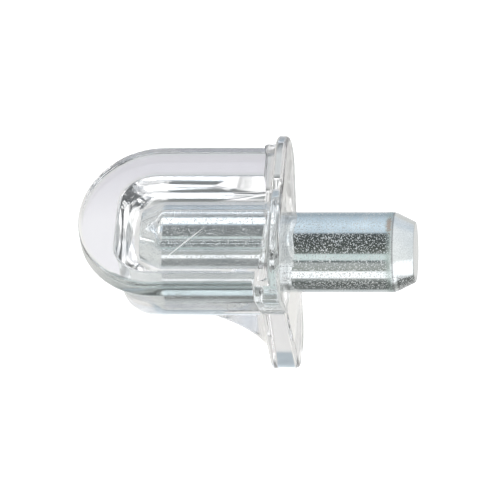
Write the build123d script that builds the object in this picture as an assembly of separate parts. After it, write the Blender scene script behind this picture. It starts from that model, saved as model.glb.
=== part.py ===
from build123d import *
import math
import os

# Shelf support pin: a steel pin moulded into a clear plastic head.
# Millimetres. X runs along the pin, +X out of the head towards the pin's free tip.
# Z is square to the platform, +Z up. The origin is on the pin's axis, in the flange's back face.

# steel pin
PIN_DIAMETER = 5.0
PIN_STICK_OUT = 7.8  # from the flange's back face to the free tip
PIN_BURIED = 9.2  # from the flange's back face to the end inside the head
PIN_CHAMFER_LENGTH = 1.25  # along the axis, at both ends
PIN_CHAMFER_DEPTH = 0.62  # on the radius, at both ends
PIN_SHOULDER_ROUNDING = 1.0  # where the chamfers meet the full diameter
PIN_EDGE_ROUNDING = 0.12  # round the two ends
GROOVE_WIDTH = 0.6  # retention groove, just inside the flange's back face
GROOVE_DEPTH = 0.2
MOULD_GAP = 0.0  # between the pin and the plastic moulded round it

# boss round the buried part of the pin
BOSS_WALL = 1.45  # plastic beside the pin
BOSS_END_WALL = 1.35  # plastic beyond the pin's buried end
BOSS_DIAMETER = PIN_DIAMETER + 2 * BOSS_WALL
BOSS_REACH = PIN_BURIED + BOSS_END_WALL  # from the flange's back face
BOSS_NOSE_ROUNDING = 2.2

# platform that the shelf rests on
PLATFORM_WIDTH = 11.4
PLATFORM_OVERHANG = 2.45  # beyond the boss
PLATFORM_REACH = BOSS_REACH + PLATFORM_OVERHANG  # from the flange's back face to the nose
PLATFORM_THICKNESS = 1.3
PIN_COVER = 1.0  # plastic between the pin and the platform's top face
PLATFORM_HEIGHT = PIN_DIAMETER / 2 + PIN_COVER  # top face above the pin's axis
NOSE_DEPTH = 5.0  # length of the rounded end in plan
PLATFORM_EDGE_ROUNDING = 0.25

# flange that stands against the cabinet side
FLANGE_THICKNESS = 1.75
FLANGE_MARGIN = 0.2  # beyond the platform, on each side
FLANGE_WIDTH = PLATFORM_WIDTH + 2 * FLANGE_MARGIN
LIP_HEIGHT = 2.7  # part of the flange that stands above the platform
LIP_THICKNESS = 0.75
FLANGE_TOP = PLATFORM_HEIGHT + LIP_HEIGHT  # above the pin's axis
FLANGE_CORNER_RADIUS = 3.2
SHOULDER_DROP = 1.6  # from the platform's top face to where the full width ends
SHOULDER_BOTTOM = PLATFORM_HEIGHT - SHOULDER_DROP  # above the pin's axis
SHOULDER_RADIUS = 1.2
WAIST_MARGIN = 0.25  # beyond the boss, on each side
WAIST_WIDTH = BOSS_DIAMETER + 2 * WAIST_MARGIN
WAIST_DROP = 0.9  # below the pin's axis
WAIST_RADIUS = 2.0
TAIL_LENGTH = 5.85  # from the boss to the bottom of the tail
TAIL_DROP = BOSS_DIAMETER / 2 + TAIL_LENGTH  # below the pin's axis
TAIL_RADIUS = 2.4
FLANGE_EDGE_ROUNDING = 0.3  # back edges
FRONT_EDGE_ROUNDING = 0.2
LIP_FILLET = 0.7  # where the lip meets the platform's top face
LEDGE_FILLET = 0.25  # where the boss meets the platform's underside

# gusset under the boss
GUSSET_WIDTH = 2 * TAIL_RADIUS
GUSSET_RUN = 4.3  # along the boss, from the flange's front face
GUSSET_REACH = FLANGE_THICKNESS + GUSSET_RUN  # from the flange's back face
GUSSET_LENGTH = 2.6  # from the boss to the foot on the flange
GUSSET_DROP = BOSS_DIAMETER / 2 + GUSSET_LENGTH  # below the pin's axis
GUSSET_SAG = 0.6  # how far its curve lies inside a straight brace
GUSSET_EDGE_ROUNDING = 0.4
GUSSET_FOOT_FILLET = 0.5


def vertices_at(shape, points):
    """The shape's vertices at those places in the XY plane."""
    found = []
    for x, y in points:
        found += [v for v in shape.vertices() if math.hypot(v.X - x, v.Y - y) < 1e-4]
    return found


def make_pin(extra=0.0):
    """The pin, or with extra the cavity that leaves that gap all round it."""
    r = PIN_DIAMETER / 2 + extra
    left, right = -PIN_BURIED - extra, PIN_STICK_OUT + extra
    r_end = r - PIN_CHAMFER_DEPTH
    r_groove = r - GROOVE_DEPTH
    groove = [(-GROOVE_WIDTH, r), (-GROOVE_WIDTH, r_groove), (0, r_groove), (0, r)]
    shoulders = [(left + PIN_CHAMFER_LENGTH, r), (right - PIN_CHAMFER_LENGTH, r)]
    rims = [(left, r_end), (right, r_end)]
    outline = [(left, 0), rims[0], shoulders[0], *groove, shoulders[1], rims[1], (right, 0)]
    profile = make_face(Polyline(outline, close=True))
    profile = fillet(vertices_at(profile, rims), PIN_EDGE_ROUNDING)
    profile = fillet(vertices_at(profile, shoulders), PIN_SHOULDER_ROUNDING)
    return revolve(profile, Axis.X, 360)


def make_platform():
    straight = PLATFORM_REACH - NOSE_DEPTH
    plan = Pos(-straight / 2, 0) * Rectangle(straight, PLATFORM_WIDTH)
    plan += Pos(-straight, 0) * Ellipse(NOSE_DEPTH, PLATFORM_WIDTH / 2)
    plan -= Pos(FLANGE_THICKNESS * 5, 0) * Rectangle(FLANGE_THICKNESS * 10, 2 * PLATFORM_WIDTH)
    plate = extrude(Pos(0, 0, PLATFORM_HEIGHT - PLATFORM_THICKNESS) * plan, PLATFORM_THICKNESS)
    rims = plate.edges().group_by(Axis.Z)[0] + plate.edges().group_by(Axis.Z)[-1]
    rims = [e for e in rims if e.center().X < -1e-3]
    return fillet(rims, PLATFORM_EDGE_ROUNDING)


def make_boss():
    r = BOSS_DIAMETER / 2
    neck = PLATFORM_HEIGHT - PLATFORM_THICKNESS / 2
    section = Circle(r) + Pos(neck / 2, 0) * Rectangle(neck, 2 * r)
    section -= Pos(neck + r, 0) * Rectangle(2 * r, 2 * r)
    boss = extrude(Plane((0, 0, 0), x_dir=(0, 0, 1), z_dir=(-1, 0, 0)) * section, BOSS_REACH)
    front = boss.edges().group_by(Axis.X)[0]
    front = [e for e in front if e.center().Z < neck - 1e-3]
    return fillet(front, BOSS_NOSE_ROUNDING)


def make_gusset():
    foot = (-FLANGE_THICKNESS, -GUSSET_DROP)
    # the toe comes out of the boss where the boss is as wide as the gusset
    toe = (-GUSSET_REACH, -math.sqrt((BOSS_DIAMETER / 2) ** 2 - (GUSSET_WIDTH / 2) ** 2))
    chord = Vector(toe) - Vector(foot)
    across = Vector(-chord.Y, chord.X).normalized()
    middle = (Vector(toe) + Vector(foot)) / 2
    middle = middle - across * GUSSET_SAG
    side = ThreePointArc(foot, (middle.X, middle.Y), toe)
    inside = -FLANGE_THICKNESS / 2
    side += Polyline([toe, (-GUSSET_REACH, 0), (inside, 0), (inside, -GUSSET_DROP), foot])
    web = make_face(side)
    rib = extrude(Plane.XZ * web, GUSSET_WIDTH / 2, both=True)
    curved = [e for e in rib.edges() if e.geom_type == GeomType.CIRCLE]
    return fillet(curved, GUSSET_EDGE_ROUNDING)


def flange_outline():
    """Outline with local x towards +Y and local y towards +Z."""
    half, waist = FLANGE_WIDTH / 2, WAIST_WIDTH / 2
    tail_y = -TAIL_DROP + TAIL_RADIUS
    # the taper from the waist is tangent to the round end of the tail
    rise = -WAIST_DROP - tail_y
    angle = math.atan2(rise, waist) - math.acos(TAIL_RADIUS / math.hypot(waist, rise))
    touch_x = TAIL_RADIUS * math.cos(angle)
    touch_y = tail_y + TAIL_RADIUS * math.sin(angle)
    body = [
        (-half, FLANGE_TOP),
        (half, FLANGE_TOP),
        (half, SHOULDER_BOTTOM),
        (waist, -WAIST_DROP),
        (touch_x, touch_y),
        (-touch_x, touch_y),
        (-waist, -WAIST_DROP),
        (-half, SHOULDER_BOTTOM),
    ]
    shape = make_face(Polyline(body, close=True))
    top = shape.vertices().group_by(Axis.Y)[-1]
    shape = fillet(top, FLANGE_CORNER_RADIUS)
    shoulder = [v for v in shape.vertices() if abs(v.Y - SHOULDER_BOTTOM) < 1e-6]
    shape = fillet(shoulder, SHOULDER_RADIUS)
    waists = [v for v in shape.vertices() if abs(v.Y + WAIST_DROP) < 1e-6]
    shape = fillet(waists, WAIST_RADIUS)
    return shape + Pos(0, tail_y) * Circle(TAIL_RADIUS)


def make_flange():
    on_wall = Plane((0, 0, 0), x_dir=(0, 1, 0), z_dir=(1, 0, 0))
    flange = extrude(on_wall * flange_outline(), -FLANGE_THICKNESS)
    step = FLANGE_THICKNESS - LIP_THICKNESS
    over = Box(step, 2 * FLANGE_WIDTH, 2 * LIP_HEIGHT, align=(Align.MIN, Align.CENTER, Align.MIN))
    flange -= Pos(-FLANGE_THICKNESS, 0, PLATFORM_HEIGHT) * over
    flange = fillet(flange.edges().group_by(Axis.X)[-1], FLANGE_EDGE_ROUNDING)
    lip = [e for e in flange.edges() if abs(e.center().X + LIP_THICKNESS) < 1e-4]
    lip = [e for e in lip if e.center().Z > PLATFORM_HEIGHT + 1e-3]
    flange = fillet(lip, FRONT_EDGE_ROUNDING)
    front = [e for e in flange.edges().group_by(Axis.X)[0]]
    front = [e for e in front if e.center().Z < PLATFORM_HEIGHT - 1e-3]
    return fillet(front, FRONT_EDGE_ROUNDING)


def make_lip_cove():
    """Hollow-cornered strip that fills the angle between the platform's top and the lip."""
    r, sunk = LIP_FILLET, LIP_THICKNESS / 4
    strip = Pos(-r / 2 + sunk / 2, r / 2 - sunk / 2) * Rectangle(r + sunk, r + sunk)
    strip -= Pos(-r, r) * Circle(r)
    run = PLATFORM_WIDTH - 2 * PLATFORM_EDGE_ROUNDING
    cove = extrude(Plane.XZ * strip, run / 2, both=True)
    return Pos(-LIP_THICKNESS, 0, PLATFORM_HEIGHT) * cove


def edges_at(shape, x=None, z=None, half_width=None):
    """Edges whose middle lies at that x and z and no further from the centre plane."""
    picked = []
    for e in shape.edges():
        m = e @ 0.5
        if x is not None and abs(m.X - x) > 1e-3:
            continue
        if z is not None and abs(m.Z - z) > 1e-3:
            continue
        if half_width is not None and abs(m.Y) > half_width + 1e-3:
            continue
        picked.append(e)
    return picked


def make_head():
    head = make_flange() + make_platform() + make_boss() + make_gusset() + make_lip_cove()
    foot = edges_at(head, x=-FLANGE_THICKNESS, z=-GUSSET_DROP, half_width=GUSSET_WIDTH / 2)
    head = fillet(foot, GUSSET_FOOT_FILLET)
    ledge = edges_at(head, z=PLATFORM_HEIGHT - PLATFORM_THICKNESS, half_width=BOSS_DIAMETER / 2)
    ledge = [e for e in ledge if (e @ 0.5).X < -FLANGE_THICKNESS - 1e-2]
    head = fillet(ledge, LEDGE_FILLET)
    return head - make_pin(MOULD_GAP)


os.makedirs("parts", exist_ok=True)
export_step(make_pin(), "parts/steel_pin.step")
export_step(make_head(), "parts/clear_head.step")
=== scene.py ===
import math

import bpy
from mathutils import Matrix, Vector


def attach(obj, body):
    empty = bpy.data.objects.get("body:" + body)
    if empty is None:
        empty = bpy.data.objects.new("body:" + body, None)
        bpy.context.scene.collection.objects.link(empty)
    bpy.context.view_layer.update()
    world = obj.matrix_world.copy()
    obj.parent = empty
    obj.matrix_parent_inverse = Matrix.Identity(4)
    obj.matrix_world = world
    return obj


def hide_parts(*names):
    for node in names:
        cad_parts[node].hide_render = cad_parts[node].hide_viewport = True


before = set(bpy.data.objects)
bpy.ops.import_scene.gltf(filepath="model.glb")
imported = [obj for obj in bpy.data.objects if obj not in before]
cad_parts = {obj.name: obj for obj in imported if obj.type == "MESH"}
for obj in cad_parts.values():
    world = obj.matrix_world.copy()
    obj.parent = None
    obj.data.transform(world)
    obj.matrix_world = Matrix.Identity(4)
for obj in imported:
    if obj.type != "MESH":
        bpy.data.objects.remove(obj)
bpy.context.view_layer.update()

MM = 0.001
scene = bpy.context.scene
scene.view_settings.view_transform = "Standard"

PIN_RADIUS = 2.5 * MM
PIN_BURIED = 9.2 * MM
PLATFORM_HALF = 5.7 * MM
NOSE_DEPTH = 5.0 * MM
NOSE_START = -8.0 * MM
FLANGE_THICKNESS = 1.75 * MM
NEAR = 2e-6  # slack when the bore's wall is picked
CLARITY = 0.94  # the clear plastic's transmission


# ---------------------------------------------------------------- materials

def new_material(name):
    mat = bpy.data.materials.new(name)
    mat.use_nodes = True
    tree = mat.node_tree
    return mat, tree, tree.nodes["Principled BSDF"]


def node(tree, kind, **inputs):
    made = tree.nodes.new(kind)
    for key, value in inputs.items():
        made.inputs[key.replace("_", " ")].default_value = value
    return made


def feed(tree, value, socket):
    """Links another node's output to the socket, or sets it to a plain value."""
    if isinstance(value, bpy.types.NodeSocket):
        tree.links.new(value, socket)
    else:
        socket.default_value = value


def maths(tree, operation, *values):
    made = tree.nodes.new("ShaderNodeMath")
    made.operation = operation
    for value, socket in zip(values, made.inputs):
        feed(tree, value, socket)
    return made.outputs[0]


def vector_maths(tree, operation, *values):
    made = tree.nodes.new("ShaderNodeVectorMath")
    made.operation = operation
    for value, socket in zip(values, made.inputs):
        feed(tree, value, socket)
    return made.outputs["Value" if operation in ("LENGTH", "DOT_PRODUCT") else "Vector"]


def span(tree, value, start, end, low=0.0, high=1.0):
    """Runs from low to high while the value runs from start to end, and stays there outside."""
    made = node(tree, "ShaderNodeMapRange", From_Min=start, From_Max=end, To_Min=low, To_Max=high)
    tree.links.new(value, made.inputs["Value"])
    return made.outputs["Result"]


def mix(tree, share, under, over, blend="MIX"):
    made = tree.nodes.new("ShaderNodeMix")
    made.data_type = "RGBA"
    made.blend_type = blend
    for value, name in ((share, "Factor"), (under, "A"), (over, "B")):
        feed(tree, value, made.inputs[name])
    return made.outputs["Result"]


def ramp(tree, factor, stops):
    made = tree.nodes.new("ShaderNodeValToRGB")
    made.color_ramp.elements[0].position = stops[0][0]
    made.color_ramp.elements[0].color = stops[0][1]
    made.color_ramp.elements[1].position = stops[-1][0]
    made.color_ramp.elements[1].color = stops[-1][1]
    for at, colour in stops[1:-1]:
        made.color_ramp.elements.new(at).color = colour
    tree.links.new(factor, made.inputs["Fac"])
    return made.outputs["Color"]


def grey(v):
    return (v, v, v, 1.0)


def noise(tree, where, scale, **inputs):
    made = node(tree, "ShaderNodeTexNoise", Scale=scale, **inputs)
    tree.links.new(where, made.inputs["Vector"])
    return made.outputs["Fac"]


def spot(tree, where, centre, size, turned=0.0):
    """Distance from the centre, in units of the size along each axis."""
    made = tree.nodes.new("ShaderNodeMapping")
    made.vector_type = "TEXTURE"
    made.inputs["Location"].default_value = [c * MM for c in centre]
    made.inputs["Rotation"].default_value = (0, 0, math.radians(turned))
    made.inputs["Scale"].default_value = [s * MM for s in size]
    tree.links.new(where, made.inputs["Vector"])
    return vector_maths(tree, "LENGTH", made.outputs["Vector"])


def object_position(tree):
    where = tree.nodes.new("ShaderNodeTexCoord").outputs["Object"]
    split = tree.nodes.new("ShaderNodeSeparateXYZ")
    tree.links.new(where, split.inputs["Vector"])
    return where, split.outputs["X"], split.outputs["Y"]


def roughen(tree, bsdf, height, strength, distance):
    bump = node(tree, "ShaderNodeBump", Distance=distance)
    feed(tree, strength, bump.inputs["Strength"])
    tree.links.new(height, bump.inputs["Height"])
    tree.links.new(bump.outputs["Normal"], bsdf.inputs["Normal"])


def near_side_wall(tree, x, y):
    """1 on the platform's side wall towards -Y, from the flange round to the nose."""
    past_start = maths(tree, "MINIMUM", maths(tree, "ADD", x, -NOSE_START), 0.0)
    plan = tree.nodes.new("ShaderNodeCombineXYZ")
    tree.links.new(past_start, plan.inputs["X"])
    tree.links.new(y, plan.inputs["Y"])
    ratio = vector_maths(tree, "DIVIDE", plan.outputs["Vector"], (NOSE_DEPTH, PLATFORM_HALF, 1.0))
    at_wall = span(tree, vector_maths(tree, "LENGTH", ratio), 0.955, 0.98)
    near_side = span(tree, y, -2.5 * MM, -5.0 * MM)
    off_flange = span(tree, x, -FLANGE_THICKNESS, -FLANGE_THICKNESS - 0.1 * MM)
    return maths(tree, "MULTIPLY", maths(tree, "MULTIPLY", at_wall, near_side), off_flange)


def clear_plastic():
    mat, tree, bsdf = new_material("clear_plastic")
    bsdf.inputs["IOR"].default_value = 1.49
    where, x, y = object_position(tree)
    cloud = noise(tree, where, 260.0, Detail=3.0)
    # painted shade: the lilac-grey tint darkens towards +Y, the far side, over a random cloud
    painted_far_side_shade = span(tree, y, -1.0 * MM, 4.0 * MM)
    cloud_and_painted_shade = maths(tree, "MULTIPLY_ADD", cloud, -0.3, painted_far_side_shade)
    tint = ramp(tree, cloud_and_painted_shade, [(0.0, (0.97, 0.965, 0.965, 1)), (0.85, (0.80, 0.792, 0.815, 1))])
    # painted shade: a grey-green darkening along the platform's near side wall, where the plastic's
    # edge also looks teal
    colour = mix(tree, near_side_wall(tree, x, y), tint, (0.48, 0.55, 0.54, 1), "MULTIPLY")
    tree.links.new(colour, bsdf.inputs["Base Color"])
    haze = ramp(tree, cloud, [(0.35, grey(0.012)), (0.8, grey(0.05))])
    # one fine scratch across the platform's top face
    off_scratch = spot(tree, where, (-6.22, -2.38, 3.5), (1.95, 0.05, 0.1), 48.8)
    scratch = ramp(tree, off_scratch, [(0.75, grey(1.0)), (1.0, grey(0.0))])
    clear = ramp(tree, scratch, [(0.0, grey(CLARITY)), (1.0, grey(0.45))])
    bsdf.inputs["Transmission Weight"].default_value = CLARITY
    tree.links.new(clear, bsdf.inputs["Transmission Weight"])
    tree.links.new(maths(tree, "MULTIPLY_ADD", scratch, 0.3, haze), bsdf.inputs["Roughness"])
    roughen(tree, bsdf, cloud, 0.12, 0.02 * MM)
    return mat


def zinc_steel():
    mat, tree, bsdf = new_material("zinc_steel")
    bsdf.inputs["Metallic"].default_value = 1.0
    where, x, _ = object_position(tree)
    grain = noise(tree, where, 11000.0, Detail=2.0, Roughness=0.6)
    cloud = noise(tree, where, 700.0, Detail=3.0)
    # flat plating with scattered pits
    pits = ramp(tree, grain, [(0.58, grey(1.0)), (0.74, grey(0.0))])
    tint = ramp(tree, cloud, [(0.3, (0.66, 0.70, 0.72, 1)), (0.7, (0.78, 0.81, 0.82, 1))])
    shade = ramp(tree, grain, [(0.35, grey(1.0)), (0.7, grey(0.84))])
    plating = mix(tree, 1.0, tint, shade, "MULTIPLY")
    # brown discolouring on the upper side, next to the tip's chamfer
    off_stain = spot(tree, where, (6.28, 0.1, 2.4), (0.45, 1.7, 1.1))
    stain = ramp(tree, maths(tree, "ADD", off_stain, grain), [(0.75, grey(0.85)), (1.4, grey(0.0))])
    stained = mix(tree, stain, plating, (0.50, 0.36, 0.30, 1))
    # a duller collar just before the chamfer; its grey-green is a painted reflection of the surface
    # turning there, and the dark line where the chamfer starts is painted shade
    along = span(tree, x, 5.8 * MM, 6.8 * MM)
    dull = ramp(tree, along, [(0.15, grey(0.0)), (0.45, grey(0.22)), (0.6, grey(0.22)),
                              (0.7, grey(0.0))])
    painted_collar_reflection_and_shade = ramp(tree, along, [(0.15, grey(1.0)), (0.45, (0.86, 0.91, 0.88, 1)),
                                (0.64, (0.78, 0.82, 0.80, 1)), (0.69, grey(0.5)),
                                (0.74, grey(0.5)), (0.79, grey(1.0))])
    plating_with_painted_collar_shade = mix(tree, 1.0, stained, painted_collar_reflection_and_shade, "MULTIPLY")
    rough = ramp(tree, cloud, [(0.3, grey(0.03)), (0.8, grey(0.07))])
    tree.links.new(maths(tree, "ADD", rough, dull), bsdf.inputs["Roughness"])
    # the plating is smoother on the chamfer, apart from its lower side, where dark specks are
    # painted shade
    lower_side = vector_maths(tree, "DOT_PRODUCT", where, (0, -0.75, -0.66))
    low = span(tree, lower_side, 1.35 * MM, 1.6 * MM, 0.0, 0.9)
    on_chamfer = span(tree, x, 6.7 * MM, 6.8 * MM)
    painted_shade_specks = ramp(tree, grain, [(0.48, grey(0.25)), (0.58, grey(1.0))])
    with_painted_shade_specks = mix(tree, maths(tree, "MULTIPLY", on_chamfer, low), plating_with_painted_collar_shade, painted_shade_specks, "MULTIPLY")
    tree.links.new(with_painted_shade_specks, bsdf.inputs["Base Color"])
    fade = span(tree, x, 6.2 * MM, 6.6 * MM, 0.95, 0.2)
    roughen(tree, bsdf, pits, maths(tree, "MAXIMUM", fade, low), 0.018 * MM)
    return mat


# ---------------------------------------------------------------- pieces

def rim_loop(edges):
    """The corner numbers of a closed chain of edges, in order."""
    follow = {}
    for i, j in edges:
        follow.setdefault(i, []).append(j)
        follow.setdefault(j, []).append(i)
    start = edges[0][0]
    loop, last = [start], None
    while True:
        ahead = [k for k in follow[loop[-1]] if k != last]
        last = loop[-1]
        if ahead[0] == start:
            return loop
        loop.append(ahead[0])


def solid_head(source, material):
    """The head with plastic right up to the pin: no bore wall, and the bore's mouth closed."""
    old = source.data
    near, end = PIN_RADIUS + NEAR, -PIN_BURIED - NEAR
    place, corners, faces, normals = {}, [], [], []
    for poly in old.polygons:
        points = [old.vertices[k].co for k in poly.vertices]
        if all(math.hypot(p.y, p.z) < near and p.x > end for p in points):
            continue
        face = []
        for p in points:
            key = (round(p.x, 7), round(p.y, 7), round(p.z, 7))
            if key not in place:
                place[key] = len(corners)
                corners.append(p.copy())
            face.append(place[key])
        if len(set(face)) < len(face):
            continue
        faces.append(face)
        normals += [old.corner_normals[k].vector.copy() for k in poly.loop_indices]
    count = {}
    for face in faces:
        for i, j in zip(face, face[1:] + face[:1]):
            count.setdefault((min(i, j), max(i, j)), []).append((i, j))
    mouth = rim_loop([pair[0] for pair in count.values() if len(pair) == 1])
    turn = sum(corners[i].y * corners[j].z - corners[j].y * corners[i].z
               for i, j in zip(mouth, mouth[1:] + mouth[:1]))
    faces.append(mouth if turn > 0 else mouth[::-1])
    normals += [Vector((1, 0, 0))] * len(mouth)
    mesh = bpy.data.meshes.new("head_clear_moulding")
    mesh.from_pydata(corners, [], faces)
    for poly in mesh.polygons:
        poly.use_smooth = True
    mesh.normals_split_custom_set(normals)
    mesh.materials.append(material)
    obj = bpy.data.objects.new("head_clear_moulding", mesh)
    bpy.context.collection.objects.link(obj)
    return obj


plastic = clear_plastic()
steel = zinc_steel()

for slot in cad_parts["steel_pin"].material_slots:
    slot.material = steel

head = solid_head(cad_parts["clear_head"], plastic)
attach(head, "root")
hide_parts("clear_head")


# ---------------------------------------------------------------- camera

SIDE = 0.11  # how far the view turns towards the pin's tip
TILT = math.radians(48.6)  # how far the view looks down
turn = math.sqrt(1 - SIDE * SIDE)
right = Vector((turn, SIDE * math.cos(TILT), -SIDE * math.sin(TILT)))
up = Vector((0, math.sin(TILT), math.cos(TILT)))
back = Vector((SIDE, -turn * math.cos(TILT), turn * math.sin(TILT)))
target = right * (-2.547 * MM) + up * (0.124 * MM)
FIELD = 31.06 * MM  # width of the view at the pin
LENS = 600.0
SENSOR = 36.0
distance = LENS * FIELD / SENSOR
cam_data = bpy.data.cameras.new("camera")
cam_data.lens = LENS
cam_data.sensor_width = SENSOR
cam_data.clip_start = 0.01
cam_data.clip_end = 10.0
camera = bpy.data.objects.new("camera", cam_data)
bpy.context.collection.objects.link(camera)
place = Matrix((right, up, back)).transposed().to_4x4()
place.translation = target + back * distance
camera.matrix_world = place
scene.camera = camera


# ---------------------------------------------------------------- floor and light

def sheet(name, centre, facing, width, height, material):
    data = bpy.data.meshes.new(name)
    w, h = width / 2, height / 2
    data.from_pydata([(-w, -h, 0), (w, -h, 0), (w, h, 0), (-w, h, 0)], [], [(0, 1, 2, 3)])
    data.materials.append(material)
    obj = bpy.data.objects.new(name, data)
    bpy.context.collection.objects.link(obj)
    obj.rotation_euler = Vector(facing).to_track_quat("Z", "Y").to_euler()
    obj.location = centre
    return obj


def backdrop_material(name, glow):
    mat, tree, bsdf = new_material(name)
    bsdf.inputs["Base Color"].default_value = (0.92, 0.92, 0.92, 1)
    bsdf.inputs["Roughness"].default_value = 0.9
    bsdf.inputs["Specular IOR Level"].default_value = 0.1
    bsdf.inputs["Emission Color"].default_value = (1, 1, 1, 1)
    bsdf.inputs["Emission Strength"].default_value = glow
    return mat


FLOOR_AT = -0.05
FLOOR_SIZE = 3.0
floor = sheet("floor", (0, 0, FLOOR_AT), (0, 0, 1), FLOOR_SIZE, FLOOR_SIZE,
              backdrop_material("pale_floor", 0.22))
floor.visible_glossy = False
floor.visible_transmission = False

# plain pale walls round the studio, there only for the camera
WALL_AT = 0.75
wall_material = backdrop_material("pale_wall", 1.0)
for name, x, y in (("left", -1, 0), ("right", 1, 0), ("back", 0, 1), ("front", 0, -1)):
    centre = (x * WALL_AT, y * WALL_AT, WALL_AT + FLOOR_AT)
    wall = sheet("wall_" + name, centre, (-x, -y, 0), 2 * WALL_AT, 2 * WALL_AT, wall_material)
    wall.visible_glossy = False
    wall.visible_transmission = False
    wall.visible_diffuse = False
    wall.visible_shadow = False


def area(name, where, aim, size, size_y, watts, colour=(1, 1, 1)):
    data = bpy.data.lights.new(name, "AREA")
    data.shape = "RECTANGLE"
    data.size, data.size_y = size, size_y
    data.energy = watts
    data.color = colour
    obj = bpy.data.objects.new(name, data)
    bpy.context.collection.objects.link(obj)
    obj.location = where
    obj.rotation_euler = (Vector(where) - Vector(aim)).to_track_quat("Z", "Y").to_euler()
    obj.visible_glossy = False


area("key_back", (0.0, 0.35, 0.35), (0, 0, 0), 0.5, 0.4, 0.78, (1.0, 0.985, 0.97))
area("fill_left", (-0.4, -0.05, 0.25), (0, 0, 0), 0.3, 0.4, 0.5)
area("fill_right", (0.4, -0.05, 0.25), (0, 0, 0), 0.3, 0.4, 0.5)


def studio_world():
    """Bands of light and dark round the pin's axis, as soft boxes and flags would give."""
    world = bpy.data.worlds.new("studio")
    world.use_nodes = True
    tree = world.node_tree
    where = tree.nodes.new("ShaderNodeTexCoord")
    split = tree.nodes.new("ShaderNodeSeparateXYZ")
    tree.links.new(where.outputs["Generated"], split.inputs["Vector"])

    turned = maths(tree, "ARCTAN2", split.outputs["Z"],
                   maths(tree, "MULTIPLY", split.outputs["Y"], -1.0))
    place = maths(tree, "ADD", maths(tree, "DIVIDE", turned, 2 * math.pi), 0.5)

    def at(degrees):
        return (degrees + 180.0) / 360.0

    bands = [
        (-180, (0.44, 0.52, 0.58)),
        (-160, (0.46, 0.54, 0.60)),
        (-156, (0.95, 0.95, 0.94)),
        (-145, (0.95, 0.95, 0.94)),
        (-138, (0.82, 0.81, 0.84)),
        (-122, (0.82, 0.81, 0.84)),
        (-108, (0.78, 0.81, 0.81)),
        (-96, (0.72, 0.75, 0.74)),
        (-84, (0.18, 0.19, 0.18)),
        (-50, (0.16, 0.17, 0.16)),
        (-35, (0.42, 0.44, 0.42)),
        (-31, (1.5, 1.5, 1.5)),
        (-10, (1.5, 1.5, 1.5)),
        (-8, (0.40, 0.42, 0.38)),
        (15, (0.50, 0.52, 0.50)),
        (22, (0.15, 0.17, 0.17)),
        (27, (0.85, 0.96, 0.93)),
        (41, (0.80, 0.91, 0.88)),
        (45, (0.20, 0.22, 0.20)),
        (60, (0.12, 0.13, 0.12)),
        (101, (0.10, 0.11, 0.11)),
        (108, (0.74, 0.86, 0.95)),
        (133, (0.88, 1.02, 1.12)),
        (160, (0.66, 0.78, 0.88)),
        (180, (0.44, 0.52, 0.58)),
    ]
    beyond_tip = [
        (-180, (0.80, 0.80, 0.78)),
        (-95, (0.80, 0.80, 0.78)),
        (-85, (0.45, 0.46, 0.44)),
        (-62, (0.45, 0.46, 0.44)),
        (-50, (1.6, 1.6, 1.6)),
        (8, (1.6, 1.6, 1.6)),
        (18, (1.08, 1.09, 1.07)),
        (130, (1.06, 1.08, 1.09)),
        (150, (0.82, 0.88, 0.94)),
        (180, (0.84, 0.87, 0.90)),
    ]
    beyond_nose = [
        (-180, (0.95, 0.94, 0.90)),
        (60, (0.95, 0.94, 0.90)),
        (80, (0.62, 0.72, 0.82)),
        (95, (0.62, 0.72, 0.82)),
        (115, (1.0, 0.99, 0.96)),
        (180, (0.95, 0.94, 0.90)),
    ]

    def sky(stops):
        return ramp(tree, place, [(at(d), (*c, 1.0)) for d, c in stops])

    # the bands fade into plainer walls beyond the two ends of the pin
    along = maths(tree, "MULTIPLY_ADD", split.outputs["X"], 0.5, 0.5)
    to_nose = ramp(tree, along, [(0.35, grey(1.0)), (0.41, grey(0.0))])
    to_tip = ramp(tree, along, [(0.505, grey(0.0)), (0.535, grey(1.0))])
    colour = mix(tree, to_nose, sky(bands), sky(beyond_nose))
    colour = mix(tree, to_tip, colour, sky(beyond_tip))
    tree.links.new(colour, tree.nodes["Background"].inputs["Color"])
    return world


scene.world = studio_world()
